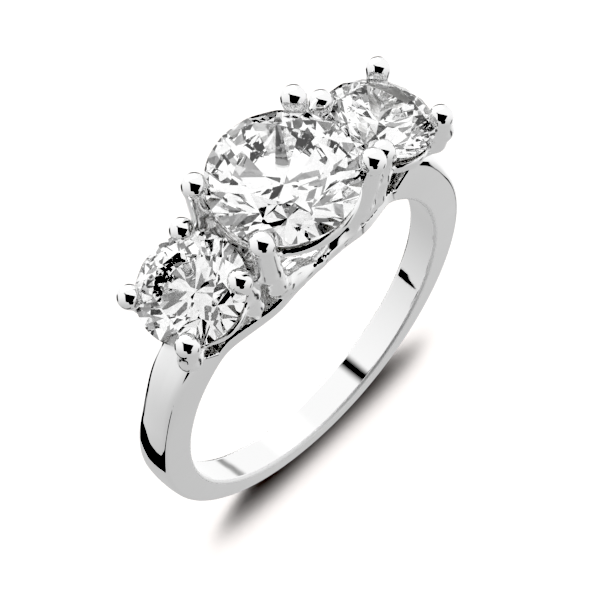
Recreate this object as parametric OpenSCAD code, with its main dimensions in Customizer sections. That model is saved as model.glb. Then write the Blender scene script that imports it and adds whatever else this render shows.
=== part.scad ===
// Three-stone ring: one silver casting with a slim band, a bridge and three four-prong heads, and
// three round stones. Modelled with the finger hole on Y and the stones up, then laid on its side.

/* [Finger hole] */
// Diameter of the finger hole
bore_d = 17.2; // [17.0:0.1:17.4]

/* [Band] */
// Diameter of the circle that the band's two outer edges lie on
band_d = 20.6; // [20.4:0.1:20.8]
// How far that circle sits towards the stones, so that the band thickens upwards
band_lift = 0.845; // [0.7:0.005:0.9]
// Width of the band at the finger
band_w_inside = 1.7; // [1.6:0.05:1.9]
// Width of the band at its outer edges
band_w_outside = 1.9; // [1.8:0.05:2.1]
// How far the domed outside stands above the outer edges
band_crown = 0.1; // [0.06:0.02:0.16]

/* [Bridge] */
// Thickness of the bridge that carries the three heads
bridge_t = 0.8; // [0.7:0.05:0.9]
// Width of the bridge at its middle
bridge_w = 3.68; // [3.4:0.04:3.8]
// Distance along the row of stones at which the bridge has narrowed to the band
bridge_reach = 5.75; // [5.5:0.05:6]
// Distance along the row of stones at which the band's shoulders rise from the bridge
shoulder_x = 5.95; // [5.8:0.05:6.2]
// Radius of the open hole in the bridge under the centre stone
light_hole_r = 1.15; // [0.9:0.05:1.2]
// Radius of the open hole in the bridge under each side stone
side_hole_r = 0.7; // [0.5:0.05:0.75]

/* [Centre stone] */
// Diameter of the centre stone
centre_d = 7.2; // [7.1:0.05:7.25]
// Height of its girdle above the middle of the finger hole
centre_z = 14.4; // [14.3:0.05:14.6]

/* [Side stones] */
// Diameter of each side stone
side_d = 5.4; // [5.3:0.05:5.45]
// Distance from the middle of the ring to the middle of a side stone
side_x = 6.16; // [6.1:0.02:6.3]
// Height of its girdle's middle above the middle of the finger hole
side_z = 12.21; // [12.1:0.01:12.3]
// Outward tilt of a side stone, in degrees
side_tilt = 20.3; // [19:0.1:22]

/* [Cut of the stones] */
// Diameter of the table as a share of the stone's
table_share = 0.58; // [0.53:0.01:0.62]
// Height of the crown as a share of the stone's diameter
crown_share = 0.15; // [0.13:0.01:0.16]
// Depth of the pavilion as a share of the stone's diameter
pavilion_share = 0.43; // [0.42:0.005:0.44]
// Thickness of the girdle as a share of the stone's diameter
girdle_share = 0.03; // [0.02:0.005:0.04]
// How far the star facets reach from the table to the girdle
star_share = 0.5; // [0.45:0.05:0.6]
// How far the lower girdle facets reach from the girdle to the culet
lower_share = 0.77; // [0.7:0.01:0.8]
// Clearance between a stone and the metal round it
seat_gap = 0.03; // [0.02:0.01:0.05]

/* [Prongs] */
// Radius of the ball on a centre prong
centre_ball_r = 0.62; // [0.58:0.02:0.66]
// Radius of the ball on a side prong
side_ball_r = 0.56; // [0.52:0.02:0.6]
// Radius of a centre prong just under its ball
centre_prong_r = 0.54; // [0.5:0.02:0.56]
// Radius of a side prong just under its ball
side_prong_r = 0.49; // [0.45:0.02:0.51]
// Radius of a centre prong at its foot
centre_foot_r = 0.68; // [0.6:0.02:0.7]
// Radius of a side prong at its foot
side_foot_r = 0.56; // [0.54:0.02:0.6]

/* [Gallery wires] */
// Radius of the wire that ties the prongs of a head together
wire_r = 0.33; // [0.3:0.01:0.35]
// Drop of the centre head's wire below the girdle
centre_wire_drop = 1.5; // [1.4:0.05:1.6]
// Drop of a side head's wire below the girdle
side_wire_drop = 1.05; // [1:0.05:1.15]
// Radius of the centre head's wire ring
centre_wire_ring_r = 3.15; // [3.1:0.01:3.2]
// Radius of a side head's wire ring
side_wire_ring_r = 2.4; // [2.35:0.01:2.45]

/* [Hidden] */
$fn = 64;

bore_r = bore_d / 2;
band_r = band_d / 2;
bridge_r = bore_r + bridge_t;
// Radius of the long arc that each side of the bridge follows, seen from above
bridge_spread = (bridge_w - band_w_inside) / 2;
bridge_arc_r = (pow(bridge_reach, 2) + pow(bridge_spread, 2)) / (2 * bridge_spread);
// Radius of the domed outside of the band
dome_r = (pow(band_w_outside / 2, 2) + pow(band_crown, 2)) / (2 * band_crown);
// Flat sides of a stone's girdle, four to each of the eight main facets
girdle_facets = 32;

// Height at which shoulder_x is measured, and the top of the cut between the shoulders
shoulder_z = 8.9;
shoulder_cut_top = 12.9;
// Length of the cutters of the holes under the stones, and where each starts: the centre one below
// the bridge's outside, a side one below its stone's girdle
light_cut = 3;
light_cut_drop = 1.8;
side_cut_drop = 6;

// Middle of each prong's ball, as set by hand: [x, y, z]
centre_tips = [[-3.36, -2.05, 14.99], [3.17, -2.60, 14.80], [-3.19, 2.41, 14.89], [3.19, 2.41, 14.89]];
left_inner_tips = [[-4.77, -1.87, 13.36], [-4.64, 1.98, 13.35]];
left_outer_tips = [[-8.27, -1.89, 12.10], [-8.25, 1.88, 12.06]];
right_inner_tips = [[4.60, -1.97, 13.35], [4.54, 2.10, 13.37]];
right_outer_tips = [[8.25, -1.98, 12.07], [8.23, 2.03, 12.12]];
// Foot of each kind of prong, for the prong at +X and +Y
centre_foot = [1.75, 1.2, 8.9];
inner_foot = [3.95, 1.2, 8.35];
outer_foot = [7.4, 0.8, 8.1];
// How far a prong runs straight down, and leans in, before it turns towards its foot
centre_knee = [2.3, 0.12];
inner_knee = [1.75, 0.1];
outer_knee = [2.2, 0.1];

// The ring lies on the edge of the band and on the centre head's gallery wire, which stands wider
lay_pitch = -6.46;
lay_move = [0, 3.1, 2.008];

// A round rod between two points, thick_a at the first and thick_b at the second
module rod(a, b, thick_a, thick_b) {
    d = b - a;
    translate(a)
        rotate([0, acos(d[2] / norm(d)), atan2(d[1], d[0])])
            cylinder(h = norm(d), r1 = thick_a, r2 = thick_b);
}

// One prong: a ball over the stone, a straight run beside it and a leg in to the foot
module prong(tip, foot, axis, knee, ball_r, top_r, foot_r) {
    inward = [-sign(tip[0] - foot[0]), -sign(tip[1]), 0] / sqrt(2);
    bend = tip - knee[0] * axis + knee[1] * inward;
    translate(tip) sphere(r = ball_r);
    rod(tip, bend, top_r, top_r + 0.02);
    translate(bend) sphere(r = top_r + 0.05);
    rod(bend, foot, top_r + 0.02, foot_r);
}

// The foot's own point on the side of the ring where the prong's ball is
function foot_for(tip, foot) = [sign(tip[0]) * foot[0], sign(tip[1]) * foot[1], foot[2]];

module centre_prongs()
    for (tip = centre_tips)
        prong(tip, foot_for(tip, centre_foot), [0, 0, 1], centre_knee, centre_ball_r, centre_prong_r,
              centre_foot_r);

module side_prongs(side, inner_tips, outer_tips) {
    axis = [side * sin(side_tilt), 0, cos(side_tilt)];
    for (tip = inner_tips)
        prong(tip, foot_for(tip, inner_foot), axis, inner_knee, side_ball_r, side_prong_r, side_foot_r);
    for (tip = outer_tips) {
        foot = foot_for(tip, outer_foot);
        prong(tip, foot, axis, outer_knee, side_ball_r, side_prong_r, side_foot_r);
        translate(foot) sphere(r = side_foot_r + 0.02);
    }
}

// Places what follows in a side head: +Z along the head's axis, origin in the girdle's middle
module in_side_head(side)
    translate([side * side_x, 0, side_z])
        rotate([0, side * side_tilt, 0])
            children();

module gallery_wire(ring_r, drop)
    translate([0, 0, -drop])
        rotate_extrude()
            translate([ring_r, 0]) circle(r = wire_r, $fn = 32);

// Half-section of the band, X away from its axis and Y across its width
module band_section() {
    inner_x = bore_r - band_lift - 0.3;
    intersection() {
        polygon([[inner_x, -band_w_inside / 2], [band_r, -band_w_outside / 2],
                 [band_r + 1, -band_w_outside / 2], [band_r + 1, band_w_outside / 2],
                 [band_r, band_w_outside / 2], [inner_x, band_w_inside / 2]]);
        translate([band_r + band_crown - dome_r, 0]) circle(r = dome_r, $fn = 128);
    }
}

// The plain band, cut down to the bridge's height between its two shoulders
module band() {
    top = shoulder_x + (shoulder_cut_top - shoulder_z) * tan(side_tilt);
    low = shoulder_x - shoulder_z * tan(side_tilt);
    difference() {
        translate([0, 0, band_lift])
            rotate([90, 0, 0])
                rotate_extrude() band_section();
        difference() {
            rotate([90, 0, 0])
                linear_extrude(height = 10, center = true)
                    polygon([[-top, shoulder_cut_top], [-low, 0], [low, 0], [top, shoulder_cut_top]]);
            rotate([90, 0, 0]) cylinder(h = 11, r = bridge_r, center = true);
        }
    }
}

// The bridge: a strip round the finger that widens from the band towards the centre stone
module bridge()
    intersection() {
        rotate([90, 0, 0]) cylinder(h = 10, r = bridge_r, center = true);
        linear_extrude(height = 12)
            intersection_for(side = [-1, 1])
                translate([0, side * (bridge_w / 2 - bridge_arc_r)]) circle(r = bridge_arc_r, $fn = 256);
    }

// The space a stone takes with its clearance, open upwards over the table
module stone_room(d) {
    r = d / 2 + seat_gap;
    half_girdle = d * girdle_share / 2 + seat_gap;
    table_r = d * table_share / 2 + seat_gap;
    rotate_extrude()
        polygon([[0, -d * pavilion_share - 2 * seat_gap], [r, -half_girdle], [r, half_girdle],
                 [table_r, half_girdle + d * crown_share], [table_r, d], [0, d]]);
}

// Round brilliant, girdle's middle at the origin and table upwards
module brilliant(d) {
    r = d / 2;
    half_girdle = d * girdle_share / 2;
    table_r = r * table_share;
    star_r = table_r * cos(22.5) + (r - table_r * cos(22.5)) * star_share;
    star_z = half_girdle + d * crown_share * (r - star_r * cos(22.5)) / (r - table_r);
    lower_r = r * (1 - lower_share);
    lower_z = -half_girdle - d * pavilion_share * (r - lower_r * cos(22.5)) / r;
    n = girdle_facets;
    fan = n / 8;
    function ring(count, radius, z, turn = 0) =
        [for (k = [0:count - 1]) [radius * cos(360 * k / count + turn), radius * sin(360 * k / count + turn), z]];
    points = concat(ring(8, table_r, half_girdle + d * crown_share), ring(8, star_r, star_z, 22.5),
                    ring(n, r, half_girdle), ring(n, r, -half_girdle), ring(8, lower_r, lower_z, 22.5),
                    [[0, 0, -half_girdle - d * pavilion_share]]);
    star = 8;
    upper = 16;
    lower = upper + n;
    low = lower + n;
    culet = low + 8;
    polyhedron(points, concat(
        [[for (k = [7:-1:0]) k]],
        [for (k = [0:7]) [k, (k + 1) % 8, star + k]],
        [for (k = [0:7]) [k, star + k, upper + fan * k, star + (k + 7) % 8]],
        [for (k = [0:7]) for (j = [0:fan - 1])
            [star + k, upper + (fan * k + j + 1) % n, upper + fan * k + j]],
        [for (j = [0:n - 1]) [upper + j, upper + (j + 1) % n, lower + (j + 1) % n, lower + j]],
        [for (k = [0:7]) for (j = [0:fan - 1])
            [low + k, lower + fan * k + j, lower + (fan * k + j + 1) % n]],
        [for (k = [0:7]) [culet, low + (k + 7) % 8, lower + fan * k, low + k]]));
}

// Lays the upright ring down on its side, with its front face up and the stones towards -Y
module lay()
    translate(lay_move)
        rotate([lay_pitch, 0, 0])
            rotate([-90, 0, 180])
                children();

module silver_mount()
    color("gainsboro")
        lay()
            difference() {
                union() {
                    band();
                    bridge();
                    translate([0, 0, centre_z]) gallery_wire(centre_wire_ring_r, centre_wire_drop);
                    centre_prongs();
                    side_prongs(-1, left_inner_tips, left_outer_tips);
                    side_prongs(1, right_inner_tips, right_outer_tips);
                    for (side = [-1, 1])
                        in_side_head(side) gallery_wire(side_wire_ring_r, side_wire_drop);
                }
                rotate([90, 0, 0]) cylinder(h = 12, r = bore_r, center = true, $fn = 128);
                translate([0, 0, centre_z]) stone_room(centre_d);
                translate([0, 0, bridge_r - light_cut_drop]) cylinder(h = light_cut, r = light_hole_r);
                for (side = [-1, 1])
                    in_side_head(side) {
                        stone_room(side_d);
                        translate([0, 0, -side_cut_drop]) cylinder(h = light_cut, r = side_hole_r);
                    }
            }

module centre_stone()
    color([0.93, 0.96, 1, 0.7])
        lay() translate([0, 0, centre_z]) brilliant(centre_d);

module left_stone()
    color([0.93, 0.96, 1, 0.7])
        lay() in_side_head(-1) brilliant(side_d);

module right_stone()
    color([0.93, 0.96, 1, 0.7])
        lay() in_side_head(1) brilliant(side_d);

silver_mount();
centre_stone();
left_stone();
right_stone();
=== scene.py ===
"""A silver three-stone ring lying on its side, with round brilliant-cut stones, in a white studio."""

import math

import bmesh
import bpy
import numpy as np
from mathutils import Matrix, Vector


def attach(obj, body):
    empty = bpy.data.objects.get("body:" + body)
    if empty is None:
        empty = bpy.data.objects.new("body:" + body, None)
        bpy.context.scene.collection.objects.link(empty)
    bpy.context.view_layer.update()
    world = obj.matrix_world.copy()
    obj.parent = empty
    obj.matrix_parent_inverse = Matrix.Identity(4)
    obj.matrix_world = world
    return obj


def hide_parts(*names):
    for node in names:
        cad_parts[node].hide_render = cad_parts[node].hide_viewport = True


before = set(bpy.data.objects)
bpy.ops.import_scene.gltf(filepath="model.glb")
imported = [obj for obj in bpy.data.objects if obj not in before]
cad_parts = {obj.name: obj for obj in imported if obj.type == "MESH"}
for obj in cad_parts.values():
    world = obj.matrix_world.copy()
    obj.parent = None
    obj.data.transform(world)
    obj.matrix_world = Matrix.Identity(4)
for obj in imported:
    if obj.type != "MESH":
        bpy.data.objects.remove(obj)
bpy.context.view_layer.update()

# Camera. A long macro lens looks down on the ring past its left shoulder. It is rolled far over, so that
# the ring seems to stand on the lower edge of its band although it lies on its side.
camera_elevation = math.radians(28.85)
camera_bearing = math.radians(21.14)
camera_roll = math.radians(-126.673)
camera_distance = 0.134
camera_target = Vector((-0.000924, 0.002189, 0.00102))
level_right = Vector((math.cos(camera_bearing), math.sin(camera_bearing), 0))
to_camera = Vector((math.sin(camera_bearing) * math.cos(camera_elevation),
                    -math.cos(camera_bearing) * math.cos(camera_elevation), math.sin(camera_elevation)))
level_up = to_camera.cross(level_right)
picture_right = math.cos(camera_roll) * level_right - math.sin(camera_roll) * level_up
picture_up = math.cos(camera_roll) * level_up + math.sin(camera_roll) * level_right
lens = bpy.data.cameras.new("macro_lens")
lens.lens = 161.8
lens.sensor_width = 36
lens.clip_start = 0.01


def put(name, data):
    """A new object in the scene, with that mesh, lens or lamp."""
    thing = bpy.data.objects.new(name, data)
    bpy.context.scene.collection.objects.link(thing)
    return thing


camera = put("camera", lens)
camera.matrix_world = Matrix.Translation(camera_target + camera_distance * to_camera) @ Matrix(
    (picture_right, picture_up, to_camera)).transposed().to_4x4()
bpy.context.scene.camera = camera

# How the ring lies. It is worked out standing up, in millimetres: finger hole along Y, stones along X and
# facing +Z. Then it is laid on its near side, on the lower edge of the band and the centre gallery wire.
lie_pitch = math.radians(-6.46)
lie_move = Vector((0, 3.1, 2.008))
lie_down = (Matrix.Scale(0.001, 4) @ Matrix.Translation(lie_move) @ Matrix.Rotation(lie_pitch, 4, "X")
            @ Matrix(((-1, 0, 0), (0, 0, -1), (0, -1, 0))).to_4x4())


def laid(points):
    """Points of the standing ring, in millimetres, moved to where the ring lies, in metres."""
    turn = np.array(lie_down)
    return points @ turn[:3, :3].T + turn[:3, 3]


# The silver. Band, bridge, prongs and gallery wires are one casting in sterling silver with a bright
# plating, filed where the stones sit and buffed until the joins have soft fillets. It is worked out in
# millimetres as one distance to the metal's surface, so that every join flows, and then skinned.
bore_r = 8.6
band_r = 10.3
band_lift = 0.845
band_w_inside = 1.7
band_w_outside = 1.9
band_crown = 0.1
band_edge = 0.16
bore_edge = 0.2
soft_shoulder = 0.3
soft_full = 6
section_past_bore = 0.3
bridge_r = 9.4
bridge_half_w = 2.02
bridge_narrows = 1.3
bridge_wide_to = 2.4
bridge_reach = 7
bridge_edge = 0.12
band_flare_w = 0.14
band_flare_h = 0.31
flare_from = 4.0
flare_full = 7.6
shoulder_x = 5.98
shoulder_z = 7.25
shoulder_rise = math.radians(43)
peak_x = 5.95
peak_z = 8.9
peak_half_w = 0.6
light_hole_r = 1.15
side_hole_r = 0.7
centre_d = 7.2
centre_z = 14.4
side_d = 5.4
side_x = 6.16
side_z = 12.21
side_tilt = math.radians(20.3)
table_share = 0.58
crown_share = 0.15
pavilion_share = 0.43
girdle_share = 0.03
seat_gap = 0.03
seat_edge = 0.06
hole_edge = 0.1
hole_length = 7.5
solder_fillet = 0.15
leg_fillet = 0.2
leg_under_ball = 0.03


def ball(p, middle, r):
    """Distance from points p to a ball."""
    return np.linalg.norm(p - middle, axis=1) - r


def rod(p, a, b, thick_a, thick_b):
    """Distance to a round rod that tapers from thick_a at a to thick_b at b."""
    run = np.subtract(b, a)
    along = np.clip((p - a) @ run / (run @ run), 0, 1)[:, None]
    return np.linalg.norm(p - a - along * run, axis=1) - (thick_a + (thick_b - thick_a) * along[:, 0])


def eased(share):
    """A share from 0 to 1 that starts and ends gently."""
    return share ** 2 * (3 - 2 * share)


def ramp(value, none_at, full_at):
    """From 0 where the value is none_at to 1 where it is full_at."""
    return np.clip((value - none_at) / (full_at - none_at), 0, 1)


def gallery_wire(p, head):
    """Distance to the strip that ties a head together, deepest half-way between the prongs.

    It is kept a little short, because the strip's swelling makes it run ahead of the true distance.
    """
    kept_short = 0.8
    q = p - head["middle"]
    up = q @ head["axis"]
    out = np.linalg.norm(q - up[:, None] * head["axis"], axis=1)
    sideways = np.clip(q[:, 1] ** 2 / np.maximum(out ** 2, 0.01), 0, 1)
    tall = 1 + head["swell"] * (2 * sideways - 1) ** 2
    ring_r = head["ring"] - head["tuck"] * (1 - sideways) + head["taper"] * (up + head["drop"])
    return (np.hypot(out - ring_r, (up + head["drop"]) / tall) - head["wire"]) * kept_short


def join(a, b, fillet):
    """Two distances joined, with a fillet about that wide in the corner."""
    near = np.clip(fillet - np.abs(a - b), 0, None)
    return np.minimum(a, b) - near * near / (4 * fillet)


def overlap(a, b, edge):
    """What two distances share, with its edge rounded about that wide."""
    return -join(-a, -b, edge)


def stone_room(p, middle, axis, d):
    """Distance to the room a stone takes, open upwards over its table."""
    q = p - middle
    up = q @ axis
    out = np.linalg.norm(q - up[:, None] * axis, axis=1)
    r = d / 2 + seat_gap
    table_r = d * table_share / 2
    girdle = d * girdle_share / 2 + seat_gap
    crown_slope = math.atan2(d * crown_share, d / 2 - table_r)
    pavilion_slope = math.atan2(d * pavilion_share, d / 2)
    crown = (out - r) * math.sin(crown_slope) + (up - girdle) * math.cos(crown_slope)
    pavilion = (out - r) * math.sin(pavilion_slope) - (up + girdle) * math.cos(pavilion_slope)
    crown = np.minimum(crown, out - table_r)
    return np.maximum(np.maximum(out - r, pavilion), crown)


# The heads: the middle of the stone's girdle, the way its table faces, its size, the radius of the light
# hole under it and of the balls over it, and its gallery wire: how far below the girdle, how wide round,
# how thick, how much deeper between the prongs, how much narrower along the row of stones, how it leans.
centre_head = dict(
    middle=np.array((0, 0, centre_z)), axis=np.array((0, 0, 1.0)), d=centre_d, hole=light_hole_r,
    ball=0.6, drop=1.0, ring=3.2, wire=0.33, swell=1.15, tuck=0, taper=0.3)
left_head, right_head = [dict(
    middle=np.array((side * side_x, 0, side_z)),
    axis=np.array((side * math.sin(side_tilt), 0, math.cos(side_tilt))), d=side_d, hole=side_hole_r,
    ball=0.56, drop=1.0, ring=2.3, wire=0.3, swell=1.1, tuck=0.4, taper=0.5) for side in (-1, 1)]
heads = (left_head, centre_head, right_head)

# The legs go down to the bridge or the shoulder by these places, each x, y, z and thickness on the +X +Y
# side. Each prong is its head, the middle of its ball, its leg, and how wide the fillet at its foot is.
centre_path = ((3.2, 2.05, 12.5, 0.6), (2.8, 1.84, 10.7, 0.6), (2.2, 1.52, 9.5, 0.57),
               (1.2, 1.55, 9.25, 0.52), (0.2, 1.72, 9.1, 0.33))
left_path = ((4.42, 1.84, 11.8, 0.55), (4.2, 1.77, 10.3, 0.5), (3.98, 1.68, 9.0, 0.22))
right_path = ((4.05, 1.9, 11.8, 0.56), (3.72, 1.82, 10.4, 0.56), (3.1, 1.62, 9.5, 0.5))
near_left_path = ((8.3, 1.92, 10.9, 0.54), (7.9, 1.4, 9.9, 0.5), (7.3, 0.8, 8.9, 0.5))
near_right_path = ((8.33, 1.92, 10.8, 0.54), (8.1, 1.65, 9.8, 0.52), (7.75, 0.9, 8.8, 0.5))
far_path = ((7.7, 1.7, 11.0, 0.5), (7.3, 1.2, 9.6, 0.5), (7.0, 0.8, 8.6, 0.5))
prongs = [(centre_head, (-3.36, -2.05, 14.99), centre_path, 0.35),
          (centre_head, (3.17, -2.60, 14.80), centre_path, 0.35),
          (centre_head, (-3.19, 2.41, 14.89), centre_path, 0.35),
          (centre_head, (3.19, 2.41, 14.89), centre_path, 0.35),
          (left_head, (-4.77, -1.87, 13.36), left_path, 0.35),
          (left_head, (-4.64, 1.98, 13.35), left_path, 0.35),
          (left_head, (-8.27, -1.89, 12.10), near_left_path, 0.7),
          (left_head, (-8.25, 1.88, 12.06), far_path, 0.5),
          (right_head, (4.42, -1.97, 13.46), right_path, 0.35),
          (right_head, (4.54, 2.10, 13.37), right_path, 0.35),
          (right_head, (8.25, -1.98, 12.07), near_right_path, 0.7),
          (right_head, (8.23, 2.03, 12.12), far_path, 0.5)]


def cleared(p):
    """Distance to the room over the bridge, between the shoulders, and to the ledges beside their peaks."""
    above_bridge = np.maximum(bridge_r - np.hypot(p[:, 0], p[:, 2]), -p[:, 2])
    peak = (np.abs(p[:, 0]) - peak_x - (p[:, 2] - peak_z) * math.tan(side_tilt)) * math.cos(side_tilt)
    ledge = ((np.abs(p[:, 0]) - shoulder_x) * math.sin(shoulder_rise)
             - (p[:, 2] - shoulder_z) * math.cos(shoulder_rise))
    ledge = np.maximum(ledge, peak_half_w - np.abs(p[:, 1]))
    return np.maximum(above_bridge, np.minimum(peak, ledge))


def flared(p):
    """How far the band has grown towards its shoulders, from 0 to 1."""
    return eased(ramp(p[:, 2], flare_from, flare_full))


def band(p):
    """Distance to the band, with its flared sides, domed outside and two shoulders."""
    out = np.hypot(p[:, 0], p[:, 2] - band_lift) - band_flare_h * flared(p)
    across = np.abs(p[:, 1]) - band_flare_w * flared(p)
    dome_r = ((band_w_outside / 2) ** 2 + band_crown ** 2) / (2 * band_crown)
    dome = np.hypot(out - (band_r + band_crown - dome_r), across) - dome_r
    lean = (band_w_outside - band_w_inside) / 2 / (band_r - bore_r + band_lift + section_past_bore)
    side = (across - band_w_outside / 2 - lean * (out - band_r)) / math.hypot(1, lean)
    soft_edge = band_edge + soft_shoulder * ramp(p[:, 2], 0, soft_full) ** 2
    return overlap(overlap(dome, side, soft_edge), -cleared(p), band_edge)


def bridge_plan(x):
    """Half the bridge's width at each x, and how fast it narrows there."""
    share = ramp(np.abs(x), bridge_wide_to, bridge_reach)
    return (bridge_half_w - bridge_narrows * eased(share),
            bridge_narrows * 6 * share * (1 - share) / (bridge_reach - bridge_wide_to))


def bridge(p):
    """Distance to the strip under the heads, which widens from the band towards the centre stone."""
    half_w, leans = bridge_plan(p[:, 0])
    plan = (np.abs(p[:, 1]) - half_w) / np.hypot(1, leans)
    return overlap(overlap(np.hypot(p[:, 0], p[:, 2]) - bridge_r, plan, bridge_edge), -p[:, 2], bridge_edge)


def prong(p, head, tip, path):
    """Distance to one prong: the ball over the stone and the leg below it."""
    metal = ball(p, np.array(tip), head["ball"])
    at, thick = np.array(tip), head["ball"] - leg_under_ball
    for *spot, next_thick in path:
        spot = np.copysign(spot, tip)
        metal = join(metal, rod(p, at, spot, thick, next_thick), leg_fillet)
        at, thick = spot, next_thick
    return metal


def silver(p):
    """Distance to the whole casting."""
    metal = join(band(p), bridge(p), solder_fillet)
    for head in heads:
        metal = join(metal, gallery_wire(p, head), solder_fillet)
    for head, tip, path, fillet in prongs:
        metal = join(metal, prong(p, head, tip, path), fillet)
    for head in heads:
        metal = overlap(metal, -stone_room(p, head["middle"], head["axis"], head["d"]), seat_edge)
        q = p - head["middle"]
        up = q @ head["axis"]
        out = np.linalg.norm(q - up[:, None] * head["axis"], axis=1)
        below = np.maximum(up + head["drop"], -up - hole_length)
        metal = overlap(metal, -np.maximum(out - head["hole"], below), hole_edge)
    return overlap(metal, bore_r - np.hypot(p[:, 0], p[:, 2]), bore_edge)


def slope(p, reach=0.004):
    """Which way the distance grows at each point, which is the surface's normal."""
    corners = np.array(((1, -1, -1), (-1, -1, 1), (-1, 1, -1), (1, 1, 1)), float)
    rise = sum(corner * silver(p + reach * corner)[:, None] for corner in corners)
    return rise / np.linalg.norm(rise, axis=1, keepdims=True)


def settle(p, times=3, longest=0.05):
    """Moves points onto the surface of the silver, in a few short steps."""
    for _ in range(times):
        p = p - np.clip(silver(p), -longest, longest)[:, None] * slope(p)
    return p


def skin(low, high, step, block=8, fillet_slack=0.3, blocks_at_once=800):
    """Quads round the silver, with one corner in each small cell that the surface passes through.

    Whole blocks of cells that are far from the surface are settled by one distance each.
    """
    half_diagonal = 0.87
    blocks = np.ceil((np.array(high) - low) / (step * block)).astype(int)
    lines = [low[i] + step * block * (np.arange(blocks[i]) + 0.5) for i in range(3)]
    middles = np.stack(np.meshgrid(*lines, indexing="ij"), -1).reshape(-1, 3)
    rough = silver(middles).reshape(blocks)
    inside = np.zeros(blocks * block + 1, bool)
    for axis in range(3):
        rough = np.repeat(rough, block, axis)
    inside[:-1, :-1, :-1] = rough < 0
    near = np.argwhere(np.abs(rough[block // 2::block, block // 2::block, block // 2::block])
                       < step * block * half_diagonal + fillet_slack) * block
    grid = np.stack(np.meshgrid(*[np.arange(block)] * 3, indexing="ij"), -1).reshape(-1, 3)
    for start in range(0, len(near), blocks_at_once):
        spots = (near[start:start + blocks_at_once, None] + grid).reshape(-1, 3)
        inside[tuple(spots.T)] = silver((np.array(low) + step * spots).astype(np.float32)) < 0
    full = sum(inside[i:i - 1 or None, j:j - 1 or None, k:k - 1 or None].astype(np.uint8)
               for i in (0, 1) for j in (0, 1) for k in (0, 1))
    crossed = (full > 0) & (full < 8)
    number = np.full(crossed.shape, -1, np.int64)
    number[crossed] = np.arange(crossed.sum())
    corners = np.array(low) + step * (np.argwhere(crossed) + 0.5)
    quads = []
    for axis in range(3):
        a = np.moveaxis(inside, axis, 0)
        cells = np.moveaxis(number, axis, 0)
        i, j, k = np.nonzero(a[:-1, 1:-1, 1:-1] != a[1:, 1:-1, 1:-1])
        ring = np.stack((cells[i, j, k], cells[i, j + 1, k], cells[i, j + 1, k + 1], cells[i, j, k + 1]), 1)
        outward = a[i, j + 1, k + 1] ^ (axis == 1)
        quads.append(np.where(outward[:, None], ring, ring[:, ::-1]))
    return corners, np.concatenate(quads)


skin_step = 0.066
most_triangles = 190_000
corners, quads = skin((-10.75, -4.1, -9.8), (10.75, 4.1, 16.2), skin_step)
rough_skin = bpy.data.meshes.new("rough_skin")
rough_skin.from_pydata(settle(corners), [], quads.tolist())
rough_object = put("rough_skin", rough_skin)
thin = rough_object.modifiers.new("thin", "DECIMATE")
thin.ratio = min(1, most_triangles / (2 * len(quads)))
bpy.context.view_layer.update()
casting = bpy.data.meshes.new_from_object(rough_object.evaluated_get(bpy.context.evaluated_depsgraph_get()))
bpy.data.objects.remove(rough_object)
corners = np.empty(len(casting.vertices) * 3)
casting.vertices.foreach_get("co", corners)
corners = settle(corners.reshape(-1, 3))
normals = slope(corners)


def hollow(p, n, reach):
    """How deep a spot sits in a hollow between metal and stones, from 0 to 1; it sets the painted shade."""
    spots = p + reach * n
    free = silver(spots)
    for head in heads:
        free = np.minimum(free, stone_room(spots, head["middle"], head["axis"], head["d"]))
    return np.clip(1 - free / reach, 0, 1)


def off_balls(p):
    """0 on the balls of the prongs, rising to 1 a short way off them."""
    gaps = [ball(p, np.array(tip), head["ball"]) for head, tip, *_ in prongs]
    return np.prod(ramp(np.array(gaps), 0, 0.3), axis=0)


# Where the silver keeps its cast grain and has shade painted on it, as shares from 0 to 1: the floor under
# the heads, the edge of that floor, the seats of the stones, and corners as deep as half a millimetre or as
# one and a half.
floor_shade_share = 0.72
on_floor = (ramp(np.abs(cleared(corners)), 0.32, 0.12) * ramp(normals[:, 2], 0, 0.667)
            * (corners[:, 2] > 5))
band_half_w = band_w_outside / 2 + band_flare_w * flared(corners)
edge_gap = np.maximum(bridge_plan(corners[:, 0])[0], band_half_w) - np.abs(corners[:, 1])
seat_gaps = [stone_room(corners, head["middle"], head["axis"], head["d"]) for head in heads]
by_seat = ramp(np.min(seat_gaps, axis=0), 0.352, 0.132) * off_balls(corners)
legs_gap = np.min([prong(corners, head, tip, path) for head, tip, path, _ in prongs], axis=0)
off_legs = ramp(legs_gap, 0, 0.15)
# Painted shade: grey in corners, on the floor under the heads and by the seats; black along that floor's
# edge.
shade_at_edge = on_floor * ramp(edge_gap, 0.26, 0.04) * off_legs
tucked = (hollow(corners, normals, 0.5) + hollow(corners, normals, 1.4)) / 2
tucked = np.maximum(tucked, floor_shade_share * np.maximum(on_floor, by_seat)) * off_legs
for name, share in (("tucked", tucked), ("painted_edge_shade", shade_at_edge)):
    casting.attributes.new(name, "FLOAT", "POINT").data.foreach_set("value", share.astype(np.float32))

# Brushed, not mirror-bright, face by face: the rim of the bore, and the legs less so.
legs_brushed = 0.2
face_corners, face_starts, face_sizes = (np.empty(count, np.int32) for count in (
    len(casting.loops), len(casting.polygons), len(casting.polygons)))
casting.loops.foreach_get("vertex_index", face_corners)
casting.polygons.foreach_get("loop_start", face_starts)
casting.polygons.foreach_get("loop_total", face_sizes)
faces = np.add.reduceat(corners[face_corners], face_starts) / face_sizes[:, None]
rim_gap = np.hypot(np.hypot(faces[:, 0], faces[:, 2]) - bore_r,
                   np.abs(faces[:, 1]) - band_w_outside / 2 - band_flare_w * flared(faces))
legs_gap = np.min([prong(faces, head, tip, path) for head, tip, path, _ in prongs], axis=0)
brushed = np.maximum(rim_gap < bore_edge * 0.8, legs_brushed * ramp(legs_gap, 0.18, 0.03) * off_balls(faces))
casting.attributes.new("brushed", "FLOAT", "FACE").data.foreach_set("value", brushed.astype(np.float32))
casting.vertices.foreach_set("co", laid(corners).ravel())
casting.shade_smooth()
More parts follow.
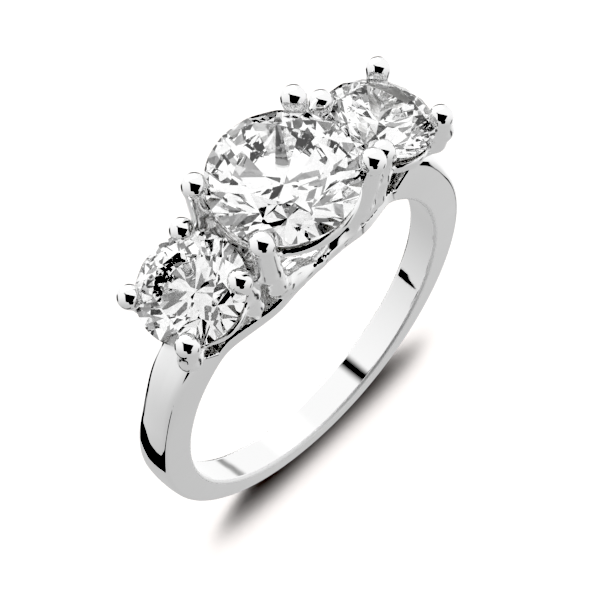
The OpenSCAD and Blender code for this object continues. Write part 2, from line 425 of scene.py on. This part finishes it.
casting.normals_split_custom_set_from_vertices(normals @ (np.array(lie_down)[:3, :3].T * 1000))
casting.name = "ring_casting"
ring_casting = put("ring_casting", casting)


def paint(hex_colour, alpha=1.0):
    """An sRGB hex colour as the linear colour that the shaders take."""
    parts = [int(hex_colour[i:i + 2], 16) / 255 for i in (1, 3, 5)]
    return (*(c / 12.92 if c <= 0.04045 else ((c + 0.055) / 1.055) ** 2.4 for c in parts), alpha)


def add(tree, kind, inputs=(), **settings):
    """Adds a node to a tree, with its settings, values and links."""
    node = tree.nodes.new(kind)
    for key, value in settings.items():
        setattr(node, key, value)
    for key, value in dict(inputs).items():
        if isinstance(value, bpy.types.NodeSocket):
            tree.links.new(value, node.inputs[key])
        else:
            node.inputs[key].default_value = value
    return node


def empty_material(name):
    """A new material, and its node tree with nothing in it yet."""
    material = bpy.data.materials.new(name)
    material.use_nodes = True
    material.node_tree.nodes.clear()
    return material, material.node_tree


# Rhodium-plated sterling silver, cast and buffed on a felt wheel. The eye gets a bright neutral mirror
# with faint waves from the wheel. Corners and hollows keep the rough grain of the casting and painted shade
# turns them grey, and a jagged, nearly black line of painted shade runs along the edge of the floor under
# the heads. The real hairlines are finer.
grains_per_mm = 6.5
waves_per_mm = 0.7
hairlines_per_mm = 9
polished_silver, t = empty_material("rhodium_plated_silver_buffed")
place = add(t, "ShaderNodeTexCoord").outputs["Object"]
shade_depth = add(t, "ShaderNodeAttribute", attribute_name="tucked").outputs["Fac"]
grain = add(t, "ShaderNodeTexNoise", {"Vector": place, "Scale": 1000.0 * grains_per_mm,
                                      "Detail": 2.0}).outputs["Fac"]
edge_shade = add(t, "ShaderNodeAttribute", attribute_name="painted_edge_shade").outputs["Fac"]
uneven = add(t, "ShaderNodeMapRange", {"Value": grain, "From Min": 0.3, "From Max": 0.7, "To Min": -0.12,
                                       "To Max": 0.12}).outputs["Result"]
uneven_shade = add(t, "ShaderNodeMath", {0: shade_depth, 1: uneven}, operation="ADD").outputs[0]
# Corners keep the rough cast grain, and painted shade greys their colour.
grain_and_shade = add(t, "ShaderNodeMapRange", {"Value": uneven_shade, "From Min": 0.55, "From Max": 0.9},
                interpolation_type="SMOOTHSTEP").outputs["Result"]
swing = add(t, "ShaderNodeMath", {0: uneven, 1: 3.5, 2: 1.0}, operation="MULTIPLY_ADD").outputs[0]
ragged_shade = add(t, "ShaderNodeMath", {0: swing, 1: edge_shade}, operation="MULTIPLY").outputs[0]
# A jagged, nearly black line of painted shade along the edge of the floor under the heads.
deepest_shade = add(t, "ShaderNodeMapRange", {"Value": ragged_shade, "From Min": 0.55, "From Max": 0.65},
              interpolation_type="SMOOTHSTEP").outputs["Result"]
wheel_waves = add(t, "ShaderNodeTexNoise", {"Vector": place, "Scale": 1000.0 * waves_per_mm,
                                            "Detail": 1.0}).outputs["Fac"]
hairlines = add(t, "ShaderNodeTexNoise", {"Vector": place, "Scale": 1000.0 * hairlines_per_mm,
                                          "Detail": 2.0}).outputs["Fac"]
shine = add(t, "ShaderNodeMapRange", {"Value": hairlines, "From Min": 0.3, "From Max": 0.7, "To Min": 0.03,
                                      "To Max": 0.075}).outputs["Result"]
worn = add(t, "ShaderNodeAttribute", attribute_name="brushed").outputs["Fac"]
rough = add(t, "ShaderNodeMix", {"Factor": grain_and_shade, "A": shine, "B": 0.3}, data_type="FLOAT").outputs[0]
rough = add(t, "ShaderNodeMix", {"Factor": worn, "A": rough, "B": 0.6}, data_type="FLOAT").outputs[0]
# The colour carries painted shade: grey in the corners, nearly black along the floor's edge.
colour = add(t, "ShaderNodeMix", {"Factor": grain_and_shade, 6: paint("#F5F5F5"), 7: paint("#B4B3B1")},
             data_type="RGBA").outputs[2]
colour = add(t, "ShaderNodeMix", {"Factor": deepest_shade, 6: colour, 7: paint("#141413")},
             data_type="RGBA").outputs[2]
wavy = add(t, "ShaderNodeBump", {"Height": wheel_waves, "Distance": 0.000004,
                                 "Strength": 1.0}).outputs["Normal"]
cast_grain = add(t, "ShaderNodeBump", {"Height": grain, "Distance": 0.00003, "Strength": grain_and_shade,
                                       "Normal": wavy}).outputs["Normal"]
shader = add(t, "ShaderNodeBsdfPrincipled", {"Base Color": colour, "Metallic": 1.0, "Roughness": rough,
                                             "Normal": cast_grain})
add(t, "ShaderNodeOutputMaterial", {"Surface": shader.outputs["BSDF"]})
casting.materials.clear()
casting.materials.append(polished_silver)
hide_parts("silver_mount")
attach(ring_casting, "root")

# The stones. Each is a colourless cubic zirconia in the round brilliant cut, ground flat facet by facet
# on a lap at fixed angles, so that its pattern repeats eight times round. It is held by the four prongs.
repeats = 8
star_share = 0.5
lower_share = 0.77
girdle_sides = 96


def round_point(angle, radius, z):
    """A point of the stone at an angle round it, in degrees."""
    return Vector((radius * math.cos(math.radians(angle)), radius * math.sin(math.radians(angle)), z))


def cut_wedge(d):
    """The eighth of a stone round one of its main facets, ground from a wedge by flat cuts."""
    half = 180 / repeats
    half_cos = math.cos(math.radians(half))
    r = d / 2
    girdle = d * girdle_share / 2
    top = girdle + d * crown_share
    culet = -girdle - d * pavilion_share
    table_r = r * table_share
    star_r = table_r * half_cos + (r - table_r * half_cos) * star_share
    star_z = girdle + d * crown_share * (r - star_r * half_cos) / (r - table_r)
    low_r = r * (1 - lower_share)
    low_z = -girdle - d * pavilion_share * (r - low_r * half_cos) / r
    cuts = [(round_point(0, table_r, top), round_point(-half, star_r, star_z), round_point(0, r, girdle)),
            (round_point(0, 0, culet), round_point(0, r, -girdle), round_point(half, low_r, low_z))]
    for turn in (-half, half):
        star = round_point(turn, star_r, star_z)
        low = round_point(turn, low_r, low_z)
        cuts += [(round_point(0, table_r, top), round_point(2 * turn, table_r, top), star),
                 (star, round_point(0, r, girdle), round_point(turn, r, girdle)),
                 (low, round_point(0, r, -girdle), round_point(turn, r, -girdle))]
    laps = [(Vector((0, 0, top)), Vector((0, 0, 1)))]
    laps += [(a, (b - a).cross(c - a).normalized()) for a, b, c in cuts]
    strips = girdle_sides // repeats
    for k in range(strips):
        out = round_point(2 * half * (k + 0.5) / strips - half, 1, 0)
        laps.append((out * r, out))
    mesh = bmesh.new()
    edge = [round_point(a, 2 * r, 0) for a in (-half, 0, half)]
    ends = [[mesh.verts.new(v + Vector((0, 0, h))) for v in [Vector((0, 0, 0))] + edge] for h in (-r, r)]
    mesh.faces.new(ends[0][::-1])
    mesh.faces.new(ends[1])
    for k in range(4):
        mesh.faces.new((ends[0][k], ends[0][(k + 1) % 4], ends[1][(k + 1) % 4], ends[1][k]))
    for spot, normal in laps:
        if normal.dot(spot) < 0:
            normal = -normal
        cut = bmesh.ops.bisect_plane(mesh, geom=mesh.verts[:] + mesh.edges[:] + mesh.faces[:], dist=1e-6,
                                     plane_co=spot, plane_no=normal, clear_outer=True)
        rim = [e for e in cut["geom_cut"] if isinstance(e, bmesh.types.BMEdge)]
        bmesh.ops.contextual_create(mesh, geom=rim)
    mesh.normal_update()
    sides = [round_point(a + 90, 1, 0) for a in (-half, half)]
    inner = [f for f in mesh.faces
             if any(abs(abs(f.normal.dot(side)) - 1) < 1e-4 and abs(f.calc_center_median().dot(side)) < 1e-4
                    for side in sides)]
    bmesh.ops.delete(mesh, geom=inner, context="FACES")
    wedge = bpy.data.meshes.new("stone_wedge")
    mesh.to_mesh(wedge)
    mesh.free()
    return wedge


# Cubic zirconia, optically polished: fully clear, with an index of 2.16, so it throws light back through
# the table and shows crisp black, grey and white facets. Its lap lines are far finer on the real one.
lap_lines_per_mm = 20
clear_stone, t = empty_material("cubic_zirconia_polished")
place = add(t, "ShaderNodeTexCoord").outputs["Object"]
lap_lines = add(t, "ShaderNodeTexNoise", {"Vector": place, "Scale": 1000.0 * lap_lines_per_mm,
                                          "Detail": 1.0}).outputs["Fac"]
polish = add(t, "ShaderNodeMapRange", {"Value": lap_lines, "To Min": 0.0, "To Max": 0.012}).outputs["Result"]
shader = add(t, "ShaderNodeBsdfPrincipled", {"Base Color": paint("#FEFEFE"), "Metallic": 0.0,
                                             "Roughness": polish, "IOR": 2.16, "Transmission Weight": 1.0})
add(t, "ShaderNodeOutputMaterial", {"Surface": shader.outputs["BSDF"]})

# Turns copies of the wedge round the stone and welds them into one closed solid.
facets = bpy.data.node_groups.new("facets_round_stone", "GeometryNodeTree")
for name, way, kind in (("Geometry", "INPUT", "NodeSocketGeometry"), ("Repeats", "INPUT", "NodeSocketInt"),
                        ("Weld", "INPUT", "NodeSocketFloat"), ("Stone", "INPUT", "NodeSocketMaterial"),
                        ("Geometry", "OUTPUT", "NodeSocketGeometry")):
    facets.interface.new_socket(name, in_out=way, socket_type=kind)
given = add(facets, "NodeGroupInput").outputs
spots = add(facets, "GeometryNodeMeshLine", {"Count": given["Repeats"], "Offset": (0, 0, 0)})
step = add(facets, "ShaderNodeMath", {0: math.tau, 1: given["Repeats"]}, operation="DIVIDE").outputs[0]
turn = add(facets, "ShaderNodeMath", {0: add(facets, "GeometryNodeInputIndex").outputs[0], 1: step},
           operation="MULTIPLY").outputs[0]
spun = add(facets, "ShaderNodeCombineXYZ", {"Z": turn}).outputs[0]
copies = add(facets, "GeometryNodeInstanceOnPoints", {"Points": spots.outputs[0], "Rotation": spun,
                                                      "Instance": given["Geometry"]})
whole = add(facets, "GeometryNodeRealizeInstances", {0: copies.outputs[0]})
welded = add(facets, "GeometryNodeMergeByDistance", {"Geometry": whole.outputs[0],
                                                     "Distance": given["Weld"]})
flat = add(facets, "GeometryNodeSetShadeSmooth", {"Geometry": welded.outputs[0], "Shade Smooth": False})
dressed = add(facets, "GeometryNodeSetMaterial", {"Geometry": flat.outputs[0], "Material": given["Stone"]})
add(facets, "NodeGroupOutput", {0: dressed.outputs[0]})
socket = {s.name: s.identifier for s in facets.interface.items_tree if s.in_out == "INPUT"}

# Each stone: its head, and how far it is turned in it, in degrees.
for name, head, spin in (("left_brilliant", left_head, 9), ("centre_brilliant", centre_head, 4),
                         ("right_brilliant", right_head, 15)):
    cutting = put(name + "_wedge", cut_wedge(head["d"]))
    modifier = cutting.modifiers.new("facets", "NODES")
    modifier.node_group = facets
    modifier[socket["Repeats"]] = repeats
    modifier[socket["Weld"]] = 0.002
    modifier[socket["Stone"]] = clear_stone
    bpy.context.view_layer.update()
    stone = bpy.data.meshes.new_from_object(cutting.evaluated_get(bpy.context.evaluated_depsgraph_get()))
    bpy.data.objects.remove(cutting)
    tilt = Matrix.Rotation(math.atan2(head["axis"][0], head["axis"][2]), 4, "Y")
    stone.transform(lie_down @ Matrix.Translation(head["middle"]) @ tilt
                    @ Matrix.Rotation(math.radians(spin), 4, "Z"))
    stone.name = name
    brilliant = put(name, stone)
    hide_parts(name.replace("brilliant", "stone"))
    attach(brilliant, "root")

# The studio. The ring lies on a sheet of matt paper, mid-grey and lit until it prints white, in a white
# tent that is greyer below and hung with black cards, which draw the dark lines in the silver. The silver
# and the stones see the tent alone, as on a lit glass table, because the sheet is for the eye alone.
floor_half = 0.6
fibres_per_mm = 1.5
sheet = bpy.data.meshes.new("paper_sheet")
sheet.from_pydata([(-floor_half, -floor_half, 0), (floor_half, -floor_half, 0), (floor_half, floor_half, 0),
                   (-floor_half, floor_half, 0)], [], [(0, 1, 2, 3)])
floor = put("paper_sheet", sheet)
floor.visible_glossy = False
floor.visible_transmission = False
paper, t = empty_material("matt_grey_paper")
place = add(t, "ShaderNodeTexCoord").outputs["Object"]
fibres = add(t, "ShaderNodeTexNoise", {"Vector": place, "Scale": 1000.0 * fibres_per_mm,
                                       "Detail": 3.0}).outputs["Fac"]
tone = add(t, "ShaderNodeMix", {"Factor": fibres, 6: paint("#7A7877"), 7: paint("#777574")},
           data_type="RGBA").outputs[2]
shader = add(t, "ShaderNodeBsdfPrincipled", {"Base Color": tone, "Roughness": 0.9,
                                             "Specular IOR Level": 0.1})
add(t, "ShaderNodeOutputMaterial", {"Surface": shader.outputs["BSDF"]})
sheet.materials.append(paper)

# The tent is laid out flat round the camera, in degrees: to the right and up as the picture has them.
# Each card: its middle, half its size, its turn, how much wider its top is than its bottom, how soft its
# edge is, and how bright it is.
tent_top = 1.05
tent_bottom = 0.62
grey_below = -110.0
white_above = 35.0
cards = (("soft box", (-35, 82), (48, 24), 20, 0, 0.3, 1.9),
         ("black card round the lens", (5, -17), (38, 33), -12, 0.25, 0.1, 0.006),
         ("its lower part", (20, -58), (20, 14), 0, 0.2, 0.15, 0.006),
         ("black card on the right", (119.5, -47), (6.5, 23), -12, -0.3, 0.3, 0.02),
         ("black card on the left", (-132, -12), (14, 34), 4, 0, 0.4, 0.02),
         ("black card overhead", (-10, 144), (60, 13), 0, 0, 0.3, 0.05),
         ("small dark card", (-35.5, 26.5), (3.8, 8), 53, 0, 0.92, 0.01),
         ("small grey card", (62, 112.5), (1.8, 6.5), -35, 0, 0.7, 0.4))


def felt(name, ground, nap_tip):
    """Wool felt: dead matt, in two close tones where its nap lies one way or the other."""
    naps_per_mm = 0.9
    material, t = empty_material(name)
    place = add(t, "ShaderNodeTexCoord").outputs["Object"]
    nap = add(t, "ShaderNodeTexNoise", {"Vector": place, "Scale": 1000.0 * naps_per_mm,
                                        "Detail": 2.0}).outputs["Fac"]
    tone = add(t, "ShaderNodeMix", {"Factor": nap, 6: paint(ground), 7: paint(nap_tip)},
               data_type="RGBA").outputs[2]
    shader = add(t, "ShaderNodeBsdfDiffuse", {"Color": tone, "Roughness": 1.0})
    add(t, "ShaderNodeOutputMaterial", {"Surface": shader.outputs["BSDF"]})
    return material


def hang_card(name, mark, outline, far):
    """A black card that only the silver sees, with an outline in degrees as seen from a mark on the ring."""
    mark = Vector(laid(np.array((mark,), float))[0])
    spots = []
    for right, up in outline:
        away = math.radians(math.hypot(right, up))
        side_on = (right * picture_right + up * picture_up) / math.hypot(right, up)
        spots.append(mark + far * (math.cos(away) * to_camera + math.sin(away) * side_on))
    mesh = bpy.data.meshes.new(name)
    mesh.from_pydata(spots, [], [tuple(range(len(spots)))])
    mesh.materials.append(black_felt)
    card = put(name, mesh)
    card.visible_camera = card.visible_diffuse = card.visible_shadow = card.visible_transmission = False


# Two small cards hang close to the ring. One draws the black wedge on the outside of the band at the left
# of the picture, the other the bar inside the band at its right.
black_felt = felt("black_felt", "#050505", "#0C0C0C")
hang_card("wedge_card", (-10.3, 0, 2.3), (
    (-140, -10), (-136, -36), (-127, -66), (-106, -103), (-72, -122), (-10, -122), (8, -112), (12, -78),
    (4, -72), (-10, -98), (-52, -98), (-78, -97), (-88, -91), (-103, -75), (-111, -52), (-118, -10)), 0.009)
hang_card("bar_card", (7.5, 0, -4.2), (
    (-84.4, -37.4), (-81.4, -33.9), (-77.9, -37.4), (-75.2, -40), (-75.2, -40.9), (-78.4, -40.2),
    (-80.6, -41)), 0.014)

tent = bpy.data.worlds.new("white_tent")
bpy.context.scene.world = tent
tent.use_nodes = True
t = tent.node_tree
t.nodes.clear()
way = add(t, "ShaderNodeTexCoord").outputs["Generated"]
toward, across, upward = (
    add(t, "ShaderNodeVectorMath", {0: way, 1: v}, operation="DOT_PRODUCT").outputs["Value"]
    for v in (to_camera, picture_right, picture_up))
off = add(t, "ShaderNodeMath", {0: toward}, operation="ARCCOSINE").outputs[0]
sine = add(t, "ShaderNodeMath", {0: off}, operation="SINE").outputs[0]
per_sine = add(t, "ShaderNodeMath", {0: off, 1: sine}, operation="DIVIDE").outputs[0]
degrees = add(t, "ShaderNodeMath", {0: per_sine, 1: math.degrees(1)}, operation="MULTIPLY").outputs[0]
sideways = add(t, "ShaderNodeCombineXYZ", {"X": across, "Y": upward}).outputs[0]
laid_out = add(t, "ShaderNodeVectorMath", {0: sideways, "Scale": degrees}, operation="SCALE").outputs[0]
height = add(t, "ShaderNodeSeparateXYZ", {0: laid_out}).outputs["Y"]
cloth = add(t, "ShaderNodeMapRange", {"Value": height, "From Min": grey_below, "From Max": white_above,
                                      "To Min": tent_bottom, "To Max": tent_top},
            interpolation_type="SMOOTHSTEP").outputs["Result"]
for name, middle, half, turned, widens, soft, bright in cards:
    turned_in = add(t, "ShaderNodeMapping", {"Vector": laid_out, "Location": (*middle, 0),
                                             "Rotation": (0, 0, math.radians(turned)), "Scale": (*half, 1)},
                    vector_type="TEXTURE", label=name).outputs[0]
    from_middle = add(t, "ShaderNodeVectorMath", {0: turned_in}, operation="ABSOLUTE").outputs[0]
    off_middle = add(t, "ShaderNodeSeparateXYZ", {0: from_middle}).outputs
    level = add(t, "ShaderNodeSeparateXYZ", {0: turned_in}).outputs["Y"]
    width = add(t, "ShaderNodeMath", {0: level, 1: widens, 2: 1.0}, operation="MULTIPLY_ADD").outputs[0]
    aside = add(t, "ShaderNodeMath", {0: off_middle["X"], 1: width}, operation="DIVIDE").outputs[0]
    farther = add(t, "ShaderNodeMath", {0: aside, 1: off_middle["Y"]}, operation="MAXIMUM").outputs[0]
    covers = add(t, "ShaderNodeMapRange", {"Value": farther, "From Min": 1 + soft, "From Max": 1 - soft},
                 interpolation_type="SMOOTHSTEP").outputs["Result"]
    cloth = add(t, "ShaderNodeMix", {"Factor": covers, "A": cloth, "B": bright},
                data_type="FLOAT").outputs[0]

# What the stones show from inside is a patchwork of black, grey and white cards, each about 20 degrees
# wide. Each step: the share of patches that stay darker, and how much brighter the rest are.
patch_degrees = 20
patches = add(t, "ShaderNodeTexVoronoi", {"Vector": laid_out, "Scale": 1 / patch_degrees}).outputs["Color"]
pick = add(t, "ShaderNodeSeparateXYZ", {0: patches}).outputs["X"]
patchwork = 0.0
for above, brighter in ((0.2, 0.35), (0.36, 0.74)):
    step = add(t, "ShaderNodeMath", {0: pick, 1: above}, operation="GREATER_THAN").outputs[0]
    patchwork = add(t, "ShaderNodeMath", {0: step, 1: brighter, 2: patchwork},
                    operation="MULTIPLY_ADD").outputs[0]
through_stone = add(t, "ShaderNodeLightPath").outputs["Is Transmission Ray"]
cloth = add(t, "ShaderNodeMix", {"Factor": through_stone, "A": cloth, "B": patchwork},
            data_type="FLOAT").outputs[0]
glow = add(t, "ShaderNodeBackground", {"Color": cloth, "Strength": 1.0})
add(t, "ShaderNodeOutputWorld", {"Surface": glow.outputs[0]})

# A brown felt strip, hung low behind the band where the camera can't see it, throws the soft warm streak of
# shade that runs along the band. Each row: x, then y and height of its near and of its far side, in mm.
shade_rows = ((-8.8, 16.2, 1.3, 17, 1.5), (-7.5, 15.2, 1, 17.3, 1.5), (-6, 14.5, 0.6, 17.4, 1.4),
              (-4, 14, 0.4, 17.45, 1.35), (-1, 14, 0.4, 17.45, 1.3), (2.5, 14, 0.4, 17.45, 1.3),
              (4.2, 14, 0.45, 17.3, 1.4), (5.6, 14.6, 0.7, 17.1, 1.5), (7, 15.6, 1.1, 16.7, 1.6))
strip = bpy.data.meshes.new("shade_strip")
strip.from_pydata([Vector((x, *side)) / 1000 for x, *sides in shade_rows for side in (sides[:2], sides[2:])],
                  [], [(2 * i, 2 * i + 2, 2 * i + 3, 2 * i + 1) for i in range(len(shade_rows) - 1)])
strip.materials.append(felt("brown_felt", "#382F29", "#3A322C"))
shade_strip = put("shade_strip", strip)
shade_strip.visible_camera = shade_strip.visible_glossy = shade_strip.visible_transmission = False

# One very large soft lamp overhead lights the sheet: the silver and the stones don't see it, and of all
# things only the felt strip throws shade in it. It is sampled directly only, because the rays that met it
# by chance left a grey halo beside the heads.
lamp = bpy.data.lights.new("soft_lamp", "AREA")
lamp.shape = "SQUARE"
lamp.size = 2
lamp.energy = 76
lamp.cycles.use_multiple_importance_sampling = False
lamp_object = put("soft_lamp", lamp)
lamp_object.location = (0, 0, 0.35)
lamp_object.visible_glossy = False
lamp_object.visible_transmission = False
in_its_light = bpy.data.collections.new("in_its_light")
in_its_light.objects.link(shade_strip)
lamp_object.light_linking.blocker_collection = in_its_light

# The photograph's levels: whatever is darker than 9 in 100 is printed black. Light may turn often enough
# to find its way out of a stone.
printed_black = 0.09
scene = bpy.context.scene
scene.view_settings.view_transform = "Standard"
scene.view_settings.use_curve_mapping = True
scene.view_settings.curve_mapping.black_level = (printed_black,) * 3
scene.view_settings.curve_mapping.update()
scene.cycles.max_bounces = 24
scene.cycles.transmission_bounces = 24
scene.cycles.glossy_bounces = 8
